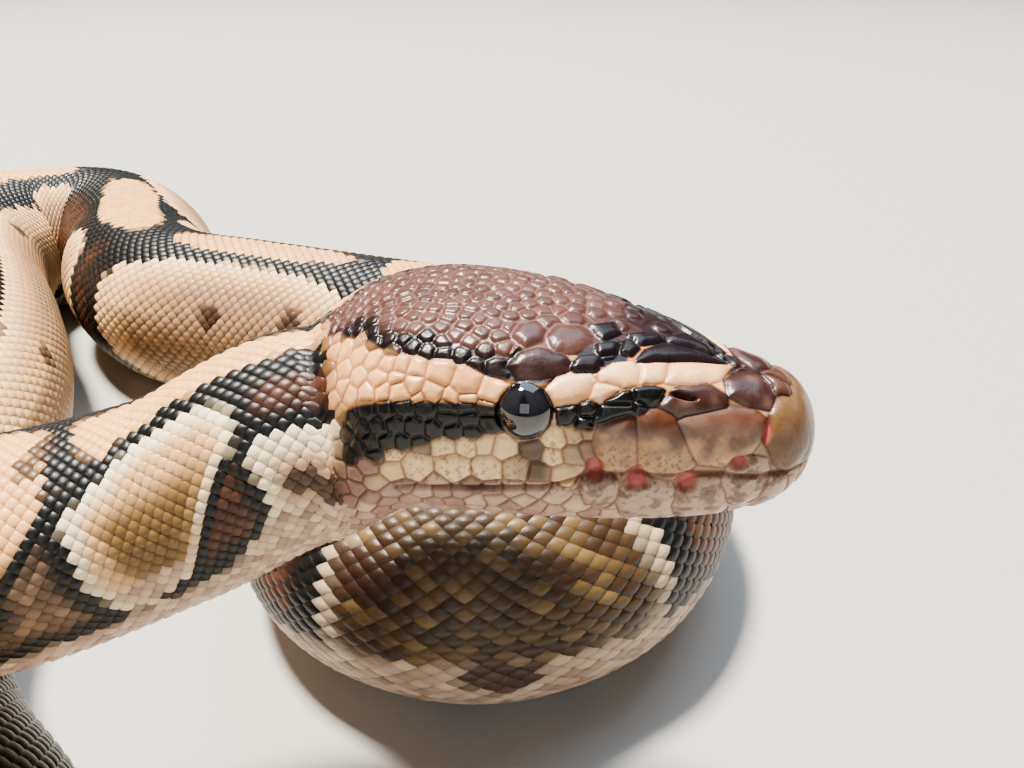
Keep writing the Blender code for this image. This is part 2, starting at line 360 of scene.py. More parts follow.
# Flank blotches: middle and half length along the body (mm), and top edge (degrees from the back)
RIGHT_BLOTCHES = np.array([(65.5, 11.5, 14), (97, 12, 26), (127, 13, 24), (158, 13, 26), (190, 14, 22),
    (224, 15, 26), (262, 18, 22), (308, 21, 25), (358, 22, 22), (410, 23, 26), (462, 22, 22), (512, 21, 26),
    (562, 22, 22), (612, 22, 25), (662, 21, 22), (711, 21, 26), (746, 9, 30), (791, 16.5, 3), (831, 12, 24),
    (858, 9, 22), (880, 7, 24)], float)
LEFT_BLOTCHES = np.array([(47.5, 7.2, 57), (66, 10, 26), (94, 11, 22), (122, 12, 26), (151, 13, 22),
    (182, 14, 26), (214, 14, 22), (247, 15, 26), (277, 13, 24), (343, 19, 24), (442, 76, 37), (533, 15, 28),
    (589, 7.5, 38), (641, 32.5, 24), (704, 20, 24), (745, 20, 22), (790, 18, 26), (831, 12, 22),
    (858, 9, 24), (880, 7, 22)], float)
# Pale ovals on the back: middle, half length, and half width (degrees)
BACK_OVALS = np.array([(61.5, 13, 15), (84.5, 7.5, 16), (105, 9, 14), (128, 10, 15), (155, 12, 14),
    (190, 14, 15), (232, 17, 15), (280, 19, 14), (330, 20, 14), (384, 23, 15), (438, 20, 14), (478, 12, 15),
    (518, 19, 16), (581, 25, 21), (641, 25, 14), (690, 16, 22), (730, 18, 14), (824, 12, 14), (852, 11, 15),
    (880, 8, 15)], float)
# Dark spots inside blotches: distance, angle (positive on the right) and radius (mm)
SPOTS = np.array([(637, -64, 2.9), (658, -60, 3.2), (482, -57, 3.0), (802, 50, 4.5), (791, 97, 3.4),
    (786, 58, 1.6), (403, -66, 2.4), (308, 60, 3), (358, 64, 3), (462, 60, 3), (711, 62, 3),
    (49.4, 85, 2.3), (52.2, 80, 1.4), (77, 10, 1.6), (79, 19, 1.5)], float)
# Where the belly's pale colour begins, in degrees from the back, along the body
BELLY_EDGE = np.array([(50, 104), (62, 108), (90, 114), (300, 110), (760, 104), (772, 92), (808, 92),
    (820, 106)], float)
# The thin black line between the neck's pale back and its first right flank blotch
NECK_LINE = np.array([(49.3, 12), (53, 21), (55, 24), (60, 21), (68, 22), (72, 32), (77, 45), (79, 54),
    (82, 66), (86, 80), (90, 84)], float)
NECK_LINE_HALF = 1.0  # half width in mm
# On the neck's right side: rear edge of the pale patch behind the jaw, and front edge of the first
# blotch, as distances by angle
PATCH_REAR = np.array([(40, 53), (51, 54), (60, 55), (92, 55.5), (99, 58), (104, 61), (120, 63)], float)
BLOTCH_FRONT = np.array([(20, 54.5), (53, 55.6), (62, 57.6), (72, 60), (88, 63.5), (100, 67),
    (108, 71)], float)
BLOTCH_MIDDLE = 68.0  # angle of the flank blotches' middles, in degrees
# Stretches of the body, as distances. Of four numbers, the first two and the last two are soft ends.
NECK_END = 88  # the thin line and the neck's own edges end here
NECK_GREY = (66, 76, 110, 122)  # the dark ground is greyish brown
HEAD_SHADOW_STRETCH = (772, 776, 808, 812)  # on the right side: the coil under the head, where the head's shadow is painted in as darker blotches
LOW_LEFT = (365, 385, 690, 720)  # on the left side: the belly's edge lies lower
TALL_LEFT = (375, 705)  # on the left side: blotches open to the belly only low down
PLAIN_LEFT = (285, 330)  # on the left side: the dark ground has no brown in it
TO_FLOOR = (430, 700)  # left blotches with their middles here reach the floor


def within(value, stretch):
    """Whether value lies in a stretch of two numbers."""
    return (value > stretch[0]) & (value < stretch[1])


def arc(degrees, radius):
    """Length in mm of an angle round the body."""
    return degrees * np.pi / 180 * radius


def nearest_form(distance, rise, table, middle_rise, half_rise, radius, power):
    """Signed gap in mm to the nearest superellipse of a table: below 0 inside it."""
    x = (distance[..., None] - table[:, 0]) / table[:, 1]
    y = (rise[..., None] - middle_rise) / half_rise
    size = (np.abs(x) ** power + np.abs(y) ** power) ** (1 / power)
    return ((size - 1) * np.minimum(table[:, 1], arc(half_rise, radius[..., None]))).min(axis=-1)


def body_tint(distance, angle, draw):
    """Colour at a distance and an angle (radians); draw is a random number for each scale, 0 to 1.

    The gaps in mm to the flank blotches, the ovals and the belly say where each colour lies. Two
    slow sines move every edge a little.
    """
    radius = half_width(distance)
    unit = radius / 20
    degrees = np.degrees(angle)
    turn = np.abs(degrees)
    right, left = angle > 0, angle < 0
    wobble = (np.sin(distance * 0.61 / unit + 2.1 * np.sin(angle * 3.0))
              + np.sin(distance * 1.37 / unit + angle * 5.0 + 1.7)) * 0.5
    gaps = []
    for table in (RIGHT_BLOTCHES, LEFT_BLOTCHES):
        high = nearest_form(distance, turn, table, BLOTCH_MIDDLE, BLOTCH_MIDDLE - table[:, 2], radius, 2.7)
        to_floor = (table is LEFT_BLOTCHES) & within(table[:, 0], TO_FLOOR)
        deep = nearest_form(distance, turn, table, BLOTCH_MIDDLE, np.where(to_floor, 85.0, 50.0), radius, 2.1)
        gaps.append(np.where(turn > BLOTCH_MIDDLE, deep, high))
    flank = np.where(right, gaps[0], gaps[1]) + 0.5 * unit * wobble
    widen = np.interp(distance, (50, 62, 76, 83, 92), (0, 0, 30, 60, 0)) * right
    back = nearest_form(distance, degrees, BACK_OVALS, 0.0,
                        BACK_OVALS[:, 2] + widen[..., None], radius, 2.5) + 0.35 * unit * wobble

    # neck: a thin black line parts the pale back from the flank, and a pale patch lies behind the jaw
    by_line = right & (distance < NECK_END)
    line = arc(degrees - level(distance, NECK_LINE), radius)
    flank = np.where(by_line, np.maximum(flank, NECK_LINE_HALF - line), flank)
    back = np.where(by_line, np.maximum(back, NECK_LINE_HALF + line), back)
    rear = (distance - level(turn, PATCH_REAR)) * 1.5
    front = (level(turn, BLOTCH_FRONT) - distance) * 1.5
    patch = np.maximum(rear, arc(54 - turn, radius))
    flank = np.where(by_line & (distance < 80), np.minimum(np.maximum(flank, front), patch), flank)

    # the belly's edge, which opens up into the blotches with rounded corners
    edge = level(distance, BELLY_EDGE) + 20 * left * band(distance, *LOW_LEFT)
    belly = arc(edge - turn, radius) + 0.8 * unit * wobble
    round_off = 1.3 * unit
    tall = left & within(distance, TALL_LEFT)
    near_blotch = np.clip(-flank / round_off, -18, 7) - 12 * np.maximum(smooth(96, 80, turn), tall)
    belly = -round_off * np.log(np.exp(np.clip(-belly / round_off, -30, 30)) + 0.6 * np.exp(near_blotch))

    # dark ground, browner in its middle and greyish on the neck
    open_to_dark = np.minimum(np.minimum(flank, back), belly)
    inner = smooth(2.4, 5.5, open_to_dark / unit) * smooth(22, np.where(distance < 58, 34, 52), turn)
    inner = inner * (0.5 + 0.5 * draw) * np.where(left & within(distance, PLAIN_LEFT), 0, 1)
    ground = mix(BLACK, mix(BROWN, NECK_BROWN, band(distance, *NECK_GREY)), inner)

    # blotches: cream rim, tan, and a darker heart; on the coil under the head, heart and rim carry the head's
    # painted shadow
    depth = -flank / unit
    heart = mix(GREY_TAN, OLIVE, smooth(66, 96, turn) * 0.8 * smooth(590, 620, distance))
    heart = mix(heart, mix(TAN, OLIVE, band(turn, 42, 62, 92, 112)), smooth(100, 84, distance))
    # painted shadow of the head, falling on the coil under it
    head_shadow = band(distance, *HEAD_SHADOW_STRETCH) * right
    heart = mix(heart, mix(HEAD_SHADOW_HEART_DARK, HEAD_SHADOW_HEART_OLIVE, draw**3), head_shadow)
    tan = mix(TAN, heart, smooth(4.2, 7.5, depth + 1.6 * (draw - 0.5)))
    rim = mix(CREAM, PEACH, 0.6 * smooth(100, 130, distance))
    rim = mix(rim, tan, smooth(1.6, 4.0, depth + 1.2 * (draw - 0.5)))
    jaw_patch = mix(CREAM, mix(TAN, BELLY, 0.5), smooth(1.0, 4.0, -patch))
    rim = mix(rim, jaw_patch, by_line & (patch < 0) & (distance < 62))
    rim = mix(rim, mix(HEAD_SHADOW_RIM, heart, smooth(1.2, 2.8, depth)), head_shadow)
    tint = mix(ground, rim, smooth(0.25, -0.25, flank))

    # ovals of the back, the belly with its freckles, and the spots
    tint = mix(tint, mix(PEACH, TAN, 0.5 * draw), smooth(0.25, -0.25, back))
    freckle = (draw > 0.93) * smooth(128, 116, turn)
    belly_tint = mix(mix(BELLY, CREAM, 0.45 * draw), BROWN, 0.7 * freckle)
    tint = mix(tint, belly_tint, smooth(0.3, -1.2, belly))
    across = arc(degrees[..., None] - SPOTS[:, 1], radius[..., None])
    spot = (np.hypot(distance[..., None] - SPOTS[:, 0], across) / SPOTS[:, 2]).min(axis=-1)
    tint = mix(tint, mix(BLACK, BROWN, 0.3), smooth(1.15, 0.8, spot + 0.35 * (draw - 0.5)) * 0.92)
    return tint * (0.86 + 0.28 * draw)[..., None]


# Head: where the top's middle line lies (degrees), and the right side's stripes by distance
HEAD_MIDLINE = np.array([(-1, 0), (2, 0), (6, -2), (9, -8), (12, -16), (16, -18), (22, -14), (30, -7),
    (40, -2), (50, 0)], float)
STRIPE_TOP = np.array([(6, 12), (9, 4), (10.8, 3), (14.6, 12), (17, 20), (18.5, 30), (21, 41), (23, 48),
    (25, 52), (28.8, 51), (31.6, 49), (35.3, 45), (41.3, 34), (46.5, 17), (50, 6)], float)
STRIPE_LOW = np.array([(6, 13), (8.5, 12), (10.3, 16), (14.1, 36), (17.6, 46), (19.8, 57), (22.8, 63),
    (28.6, 67), (33.8, 66), (40, 63), (47, 54), (50, 56)], float)
BLACK_LOW = np.array([(9, 30), (13.3, 50), (15.6, 58), (19.1, 61), (22.3, 76), (27.1, 80), (29.3, 84),
    (32.8, 86), (37, 88), (41, 89), (44.8, 85), (47.5, 80)], float)
CROWN_LOW = np.array([(8, -6), (12, -12), (18, 8), (23, 26), (28.1, 33), (33.3, 30), (39, 24),
    (45.8, 10)], float)

SOFT = 1.2  # half width in degrees of the edge between two colours
# Dark bar below the eye and brown streak below the mouth: soft ends as distances, then as angles
EYE_BAR = (22.8, 24.0, 25.6, 26.8), (76, 80, 92, 98)
STREAK = (27, 29, 38, 41), (98.5, 100, 102.5, 104)


def right_side(distance, angle):
    """Angle (degrees) that a place on either side has on the right side, about the head's midline."""
    middle = level(distance, HEAD_MIDLINE)
    turn = np.degrees(angle)
    return np.where(turn >= middle, turn, middle + (middle - turn) * (180 - middle) / (180 + middle))


def head_tint(distance, angle, draw):
    """Colour of the head: stripes, crown, lips and chin, then the body's own colours at the nape."""
    turn = right_side(distance, angle)
    top, low, under, crown = (level(distance, t) for t in (STRIPE_TOP, STRIPE_LOW, BLACK_LOW, CROWN_LOW))
    blotch = np.sin(distance * 0.9 + turn * 0.11) * np.sin(turn * 0.17 - distance * 0.31)

    # crown, darker at its lower edge and towards the snout
    tint = mix(CROWN, CROWN * 0.62, smooth(0.2, 0.9, draw))
    dark = smooth(crown - 3, crown + 3, turn + 5 * (draw - 0.5))
    tint = mix(tint, CROWN_DARK, np.maximum(dark, smooth(20.5, 17.5, distance + 1.5 * (draw - 0.5)) * 0.9))
    tint = mix(tint, mix(BROWN, CROWN_DARK, 0.4), smooth(9, 5, distance))

    # pale stripe over the black one
    stripe = mix(PALE_STRIPE, TAN, 0.5 * draw)
    on_stripe = smooth(top - SOFT, top + SOFT, turn) * smooth(low + SOFT, low - SOFT, turn)
    tint = mix(tint, BLACK * 1.1, smooth(low - SOFT, low + SOFT, turn))
    snout = smooth(9, 7.4, distance) * smooth(12, 30, turn)
    tint = mix(tint, mix(BROWN, LIP_BROWN, 0.3 + 0.4 * blotch), snout)
    tint = mix(tint, stripe, on_stripe * smooth(7.4, 9.4, distance))

    # pale scales below the eye, with a dark bar, and the brown lip in front of them
    below = mix(UNDER_EYE, SHADED_CHIN, smooth(39, 43, distance + 3 * (draw - 0.5)))
    below = mix(below, mix(LIP_BROWN, LIP_PALE, draw), smooth(23, 20, distance))
    tint = mix(tint, below, smooth(under - SOFT, under + SOFT, turn + 2 * (draw - 0.5)))
    bar = band(distance, *EYE_BAR[0]) * band(turn, *EYE_BAR[1])
    tint = mix(tint, mix(BLACK, BROWN, 0.3), 0.93 * bar)
    front = smooth(4.2, 2.6, distance) * smooth(20, 34, turn)
    tint = mix(tint, mix(FRONT_PALE, FRONT_BROWN, 0.5 + 0.5 * blotch), front)

    # chin, painted darker and redder for the shade under the jaw, with a brown streak
    jaw = smooth(97, 100.5, turn) * smooth(46, 42, distance)
    tint = mix(tint, mix(SHADED_CHIN, CREAM, 0.35 * draw), np.maximum(jaw, smooth(94, 100, turn)))
    tint = mix(tint, BROWN, 0.8 * band(distance, *STREAK[0]) * band(turn, *STREAK[1]))
    tint = mix(tint, body_tint(distance, angle, draw), smooth(47.5, 49.5, distance))
    return tint * (0.93 + 0.14 * draw)[..., None]


# ---- Skin. One unbroken skin from the snout to the tail tip, which shows between the scales. It sinks
# in at the mouth line, the nostrils, the heat pits of the lips and the seats of the eyes.
# The eyes' distance behind the snout tip, then mm to the side, up and forward from the head's axis there
EYE_BACK = 26.0
EYE_SIDE = 10.0
EYE_UP = 7.8
EYE_FORWARD = 0.35
EYE_RADIUS = 2.95
EYE_OPENING = 2.45  # radius of the ring of scales round each eye
JAW_HINGE = 41.0  # distance where the mouth line ends
HEAD_COAT = 0.45  # depth of the head's scales
BODY_COAT = 0.36
SKIN_SHADE = 0.42  # the skin's colour against the scales' own
FULL_TURN = 6.284  # radians; a little over two pi, so that OFBake stays inside its map
# Heat pits and nostrils: distance, angle on the right side, and half sizes along and across (mm)
PITS = np.array([(19.1, 90.5, 0.80, 0.62), (15.3, 92.5, 1.05, 0.75), (10.8, 93, 1.0, 0.72),
                 (6.3, 83, 0.75, 0.7), (4.2, 56, 0.36, 1.8)], float)
NOSTRIL = (11.9, 38.0, 1.25, 0.62)


def eye_place(sign):
    """Middle of an eye and the way it looks; sign is 1 on the right and -1 on the left."""
    middle, ahead, side, up = (v[0] for v in head_axis(np.array([EYE_BACK])))
    look = -sign * 0.93 * side + 0.34 * up - 0.12 * ahead
    return middle - sign * EYE_SIDE * side + EYE_UP * up - EYE_FORWARD * ahead, look / np.linalg.norm(look)


def seat_eyes(place, lift):
    """Sinks the head's surface behind each eye, and raises it a little in a ring round the eye."""
    for sign in (1, -1):
        middle, look = eye_place(sign)
        offset = place - middle
        out = offset @ look
        away = np.linalg.norm(offset - out[..., None] * look, axis=-1)
        near = (out > -2) & (away < 6)
        sunk = smooth(EYE_OPENING + 0.12, EYE_OPENING - 0.35, away) * (np.maximum(out, 0) + 1.2)
        ring = lift * smooth(EYE_OPENING + 1.5, EYE_OPENING + 0.3, away) * smooth(
            EYE_OPENING - 0.1, EYE_OPENING + 0.2, away)
        place = place + np.where(near, ring - sunk, 0)[..., None] * look
    return place


def mouth_gap(distance, angle):
    """Height in mm of a place over the mouth line.

    The line is a slow sine that drops at the snout tip and lies 1.35 mm higher in front of the eye.
    """
    form = smooth_table(np.clip(distance, SNOUT, HEAD_REAR), HEAD_FORM[:, 0], HEAD_FORM[:, 1:])
    crown, chin, square = form[..., 1], form[..., 2], form[..., 3]
    c = np.cos(angle)
    rise = (crown + chin) / 2 + (crown - chin) / 2 * np.sign(c) * np.abs(c) ** (2 / square)
    rise = SNOUT_MIDDLE + (rise - SNOUT_MIDDLE) * snout_closing(distance)
    line = 0.5 * np.sin(np.pi * distance / 26) - 0.6 * np.exp(-np.maximum(distance, 0) / 4)
    return rise - line - 1.35 * smooth(24, 19, distance)


def hollows(distance, angle):
    """Depth in mm of the mouth line, the pits and the nostrils; then how deep in a pit or a nostril
    each place lies, 0 to 1."""
    turn = right_side(distance, angle)
    girth = np.interp(distance, (0, 8, 20, 40), (7, 9, 13, 16)) * np.pi / 180
    mouth = np.exp(-(mouth_gap(distance, angle) / 0.28) ** 2) * smooth(JAW_HINGE, JAW_HINGE - 5, distance)
    pit = np.hypot((distance[..., None] - PITS[:, 0]) / PITS[:, 2],
                   (turn[..., None] - PITS[:, 1]) * girth[..., None] / PITS[:, 3]).min(axis=-1)
    nostril = np.hypot((distance - NOSTRIL[0]) / NOSTRIL[2], (turn - NOSTRIL[1]) * girth / NOSTRIL[3])
    pit, nostril = smooth(1.3, 0.5, pit), smooth(1.2, 0.5, nostril)
    mouth = mouth * (0.55 + 0.45 * smooth(18, 24, distance))
    return 0.75 * mouth + 0.55 * pit + 0.8 * nostril, pit, nostril


HEAD_RINGS = np.linspace(6, 44, 14)[:, None]  # distances that stand for the head's girth


def head_rings(turns):
    """Steps in mm between places at the given angles (degrees), on each of the head's rings."""
    return np.linalg.norm(np.diff(on_snake(HEAD_RINGS, np.radians(turns)[None], 0.0), axis=1), axis=2)


def even_turns(first, last, count):
    """Angles (degrees) whose places lie evenly round the middle of the head."""
    fine = np.linspace(first, last, 2000)
    walked = np.r_[0, np.cumsum(head_rings(fine).mean(axis=0))]
    return np.interp(np.linspace(0, walked[-1], count), walked, fine)


def surface(name, place, tint, unwrap, wrap, first, last):
    """Mesh object from a grid of places in mm, with a fan of triangles to the pole at each end.

    first and last are (pole, its place on the OFBake map), or None; a pole has its row's first tint.
    """
    rows, across = place.shape[:2]
    columns = np.arange(across if wrap else across - 1)
    after = (columns + 1) % across
    start = np.arange(rows - 1)[:, None] * across
    a, b = (start + columns).ravel(), (start + after).ravel()
    corners = [np.stack([a, a + across, b + across, b], -1).ravel()]
    sides = [np.full(len(a), 4)]
    points, tints, spots = [place.reshape(-1, 3)], [tint.reshape(-1, 3)], [unwrap.reshape(-1, 2)]
    for row, end in ((0, first), (rows - 1, last)):
        if end is not None:
            tip = np.full(len(columns), sum(map(len, points)))
            near, far = row * across + columns, row * across + after
            corners.append(np.stack([tip, near, far] if row == 0 else [tip, far, near], -1).ravel())
            sides.append(np.full(len(columns), 3))
            points.append([end[0]])
            tints.append(tint[row, :1])
            spots.append([end[1]])
    return mesh_piece(name, np.vstack(points), np.concatenate(corners), np.concatenate(sides),
                      np.vstack(tints), np.vstack(spots))


def mesh_piece(name, points, corners, sides, tint, unwrap):
    """Mesh object from points in mm, the faces' corners and sides, and each point's colour and UV."""
    points, tint, unwrap = points.reshape(-1, 3), tint.reshape(-1, 3), unwrap.reshape(-1, 2)
    mesh = bpy.data.meshes.new(name)
    mesh.vertices.add(len(points))
    mesh.vertices.foreach_set("co", (points * MM).astype(np.float32).ravel())
    mesh.loops.add(len(corners))
    mesh.loops.foreach_set("vertex_index", corners.astype(np.int32))
    mesh.polygons.add(len(sides))
    mesh.polygons.foreach_set("loop_start", np.r_[0, np.cumsum(sides)[:-1]].astype(np.int32))
    mesh.polygons.foreach_set("use_smooth", np.ones(len(sides), bool))
    mesh.update(calc_edges=True)
    rgba = np.ones((len(points), 4), np.float32)
    rgba[:, :3] = np.clip(tint, 0.002, 1)
    mesh.color_attributes.new("tint", "FLOAT_COLOR", "POINT").data.foreach_set("color", rgba.ravel())
    layer = mesh.uv_layers.new(name="OFBake")
    layer.data.foreach_set("uv", unwrap[corners].astype(np.float32).ravel())
    return new_object(name, mesh)


def hide_finish(name, rough, bumps, grain_size):
    """Snake hide: the piece's own tint with a fine mottle, satin, with grain as a slight bump."""
    material, s, shader = surface_material(name)
    place = s.node("TexCoord", 3)
    mottle, cloud, fine = (s.node("TexNoise", Vector=place, Scale=scale, Detail=detail)
                           for scale, detail in ((2200.0, 3.0), (260.0, 2.0), (1000.0 / grain_size, 3.0)))
    tint = s.node("Attribute", 0, {"attribute_name": "tint"})
    shade = 0.80 + mottle * 0.26 + cloud * 0.14
    feed(shader, "Base Color", s.node("VectorMath", 0, {"operation": "SCALE"}, i0=tint, Scale=shade))
    feed(shader, "Roughness", rough - 0.06 + mottle * 0.12)
    feed(shader, "Normal", s.node("Bump", Strength=bumps, Distance=0.0002, Height=fine))
    shader.inputs["Specular IOR Level"].default_value = 0.28
    return material


def skin_places(distance, angle):
    """Places and colours of the skin: inside the snake's outline by the depth of its scales."""
    depth = np.interp(distance, (SNOUT, 44, 52), (HEAD_COAT + 0.12, HEAD_COAT + 0.12, BODY_COAT))
    depth = np.minimum(depth, 0.3 * half_width(distance) + 0.02)
    hollow = hollows(np.minimum(distance, 52), angle)[0] * (distance < 46)
    place = seat_eyes(on_snake(distance, angle, -depth - hollow), 0.0)
    draw = np.full(distance.shape, 0.4)
    tint = np.where((distance < 49)[..., None], head_tint(distance, angle, draw),
                    body_tint(distance, angle, draw))
    return place, tint * SKIN_SHADE


TIP_CLEAR = 0.004  # gap from the snout's closed tip to the first ring
SKIN_COLUMNS = 128
SKIN_STEP = 0.36  # between rings on the head
BODY_RINGS = 592  # rings of skin behind the head, which ends at SKIN_NAPE
SKIN_NAPE = 50
skin_turns = even_turns(-180, 180, SKIN_COLUMNS + 1)[:-1]
skin_rows = np.r_[even_steps(SNOUT + TIP_CLEAR, SKIN_NAPE, SKIN_STEP, skin_turns[::8]),
                  np.linspace(SKIN_NAPE, snake_length, BODY_RINGS)[1:]]
skin_distance, skin_turn = np.meshgrid(skin_rows, np.radians(skin_turns), indexing="ij")
skin_place, skin_tint = skin_places(skin_distance, skin_turn)
skin_unwrap = np.stack([skin_distance / snake_length * 0.98 + 0.01, skin_turn / FULL_TURN + 0.5], -1)
skin = surface("skin", skin_place, skin_tint, skin_unwrap, True,
               (skin_place[0].mean(axis=0), (0.01, 0.5)), (skin_place[-1].mean(axis=0), (0.99, 0.5)))
skin.data.materials.append(hide_finish("skin_hide", 0.5, 0.35, 0.5))
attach(skin, "root")
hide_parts("head", "jaw", "neck", "trunk_1", "trunk_2", "trunk_3", "trunk_4", "trunk_5", "trunk_6",
            "trunk_7", "tail")

# ---- Scales of the head. Small glossy beads on the crown and temples, larger plates between and in
# front of the eyes, and big shields round the lips, all in one hard relief cast over the skin.

# Middles of single scales: distance, angle on the right side, and radius (mm)
SHIELDS = np.array([(26.8, 33, 0.6), (28.8, 24, 0.7), (25.1, 7, 0.9), (23.1, 2, 1.0), (21.1, -2, 0.8),
    (18.8, 0, 0.8), (8.1, -4, 1.1), (6.0, -7, 1.1), (3.5, -4, 1.0), (48.0, 21, 0.86), (46.3, 24, 0.86),
    (44.3, 33, 0.86), (42.0, 39, 0.86), (39.8, 44, 0.97), (37.5, 46, 0.97), (35.5, 48, 1.08),
    (33.3, 50, 1.4), (30.8, 54, 1.45), (30.3, 46, 0.75), (28.6, 58, 1.2), (28.3, 46, 0.97), (35.5, 57, 1.1),
    (33.8, 60, 1.1), (32.0, 63, 0.8), (30.6, 63, 0.8), (40.8, 50, 1.05), (37.3, 60, 1.15), (34.8, 63, 0.75),
    (39.8, 57, 0.97), (42.8, 54, 0.86), (45.5, 50, 0.86), (44.3, 44, 0.86), (46.5, 36, 0.97),
    (48.5, 36, 0.86), (46.8, 42, 0.86), (38.0, 53, 0.97), (42.8, 63, 0.97), (39.3, 68, 0.97),
    (36.6, 69, 0.97), (34.3, 70, 0.9), (32.3, 69, 0.8), (30.6, 69, 0.75), (28.8, 69, 0.86),
    (45.3, 62, 0.86), (32.3, 75, 0.86), (30.3, 75, 0.86), (28.6, 76, 0.86), (43.8, 69, 0.86),
    (40.8, 74, 0.97), (38.0, 76, 0.97), (35.3, 79, 0.97), (33.5, 80, 0.9), (31.8, 81, 0.86),
    (30.1, 81.5, 0.8), (46.5, 66, 0.75), (42.3, 79, 0.86), (39.3, 83, 0.97), (37.0, 85, 0.9),
    (44.8, 76, 0.75), (41.5, 86, 0.86), (38.5, 89, 0.86), (34.8, 86, 0.8), (32.6, 87, 0.95),
    (30.6, 87, 0.9), (29.0, 86.5, 0.8), (27.3, 87.5, 0.85), (35.4, 93, 1.5), (31.9, 92.5, 1.55),
    (28.8, 92, 1.35), (26.2, 91.5, 1.2), (38.5, 93.5, 1.2), (24.6, 87, 0.86), (24.2, 92, 0.97),
    (22.6, 82, 1.05), (21.2, 86.5, 0.9), (21.1, 79, 0.85), (19.9, 76, 0.7), (19.9, 84, 0.8),
    (22.8, 88, 0.85), (21.8, 92, 0.9)], float)
# Large shields of each kind: corners as distance and angle on the right side. The two rostral
# outlines make one shield over the snout tip.
SHIELD_CORNERS = {
    "lip": [
        [(19.1, 81), (18.8, 70), (17.6, 64), (16.3, 61), (15.8, 67), (15.3, 88), (16.6, 90), (18.3, 90)],
        [(15.6, 66), (15.3, 57), (14.1, 54), (12.8, 55), (11.8, 64), (10.3, 85), (11.1, 90), (12.8, 91),
         (14.8, 90), (15.3, 87)],
        [(12.1, 59), (11.6, 54), (8.1, 40), (5.5, 39), (4.5, 46), (4.5, 59), (5.5, 75), (7.8, 85),
         (9.8, 84), (10.8, 78)]],
    "nasal": [
        [(8.1, 14), (7.0, 3), (5.3, -1), (3.5, 3), (3.5, 16), (4.3, 33), (6.0, 33), (7.8, 27)],
        [(13.6, 49), (12.3, 29), (10.1, 21), (8.3, 28), (8.1, 39), (10.3, 48), (12.1, 54)]],
    "rostral": [
        [(3.6, 12), (2.0, -4), (0.4, -10), (-0.3, 30), (0.0, 80), (1.8, 94), (3.0, 84), (4.3, 63),
         (3.9, 40)],
        [(0.9, 0), (0.6, 50), (0.2, 86), (-0.2, 98), (-0.2, -98), (0.2, -86), (0.6, -50)]],
    "snout": [
        [(5.3, -3), (4.4, -20), (1.8, -21), (1.6, -4), (3.2, 2)]],
    "under": [
        [(20.3, 97), (19.6, 91), (18.1, 91), (17.1, 93), (17.1, 103), (18.1, 112), (19.6, 108)],
        [(16.8, 105), (16.1, 93), (14.3, 91), (12.3, 93), (11.6, 103), (11.8, 130), (13.8, 135),
         (16.3, 124)],
        [(12.1, 111), (11.3, 96), (9.6, 91), (8.1, 91), (7.0, 100), (7.0, 135), (9.3, 135), (11.3, 135)],
        [(7.5, 94), (7.0, 85), (5.5, 79), (4.0, 82), (3.3, 94), (4.0, 111), (5.8, 123), (7.0, 108)],
        [(3.3, 91), (1.8, 96), (1.6, 121), (2.5, 135), (3.8, 118)]],
    "lore": [
        [(22.6, 64), (21.1, 61), (20.8, 70), (22.3, 73)],
        [(20.8, 59), (19.3, 57), (19.1, 64), (20.6, 67)],
        [(21.1, 69), (19.8, 67), (19.6, 72), (20.8, 73)],
        [(19.6, 69), (18.8, 59), (17.6, 55), (16.1, 54), (16.1, 58), (17.3, 64), (18.6, 69)],
        [(18.6, 55), (17.8, 49), (16.6, 45), (16.1, 51), (17.6, 55)],
        [(16.1, 51), (15.1, 49), (15.1, 55), (15.8, 55)],
        [(16.1, 42), (15.1, 37), (13.8, 37), (14.1, 45), (15.1, 51), (16.1, 49)]],
    "cheek": [
        [(23.6, 54), (22.8, 46), (21.8, 40), (20.3, 39), (19.8, 43), (20.1, 52), (20.8, 59), (22.6, 63)],
        [(19.8, 46), (18.8, 42), (17.6, 43), (17.8, 49), (19.3, 57), (19.8, 54)],
        [(19.3, 36), (18.3, 27), (16.8, 22), (16.1, 27), (16.1, 37), (17.6, 42), (19.1, 42)],
        [(16.1, 21), (14.8, 16), (13.6, 14), (13.8, 28), (15.1, 34), (15.8, 36)],
        [(13.6, 14), (11.6, 7), (8.1, 0), (9.1, 14), (11.3, 27), (13.6, 29)]],
    "brow": [
        [(27.3, 43), (26.6, 34), (25.1, 28), (23.1, 28), (22.1, 34), (22.3, 40), (24.3, 46), (26.3, 48)]],
    "crown": [
        [(22.1, 36), (21.3, 28), (20.1, 24), (19.6, 27), (19.8, 34), (21.6, 40)],
        [(24.6, 18), (24.1, 9), (22.3, 6), (21.1, 7), (20.8, 14), (22.1, 25), (23.6, 28)],
        [(27.6, 22), (27.3, 14), (26.1, 10), (25.1, 14), (25.1, 22), (26.3, 28)],
        [(16.3, 19), (15.8, 9), (14.3, 1), (11.6, -1), (8.3, 0), (10.8, 4), (15.6, 19)],
        [(20.1, 16), (19.3, 12), (18.1, 10), (18.6, 18), (19.8, 22)],
        [(18.1, 10), (17.1, 4), (16.6, 9), (17.1, 16), (17.8, 16)],
        [(17.6, 3), (15.8, -1), (14.3, -1), (14.8, 1), (16.8, 7)],
        [(14.3, -1), (12.8, -12), (9.8, -14), (8.6, -12), (9.8, -3), (12.8, 0)],
        [(21.3, 4), (19.3, 0), (18.6, 3), (19.8, 10), (20.8, 7)]],
}
OUTLINES = [(kind, corners) for kind, shields in SHIELD_CORNERS.items() for corners in shields]
SHIELD_TINTS = {"nasal": rgb(50, 31, 28), "rostral": rgb(92, 66, 40), "snout": rgb(70, 46, 36), "lore": BLACK,
                "cheek": PALE_STRIPE, "crown": CROWN_DARK}
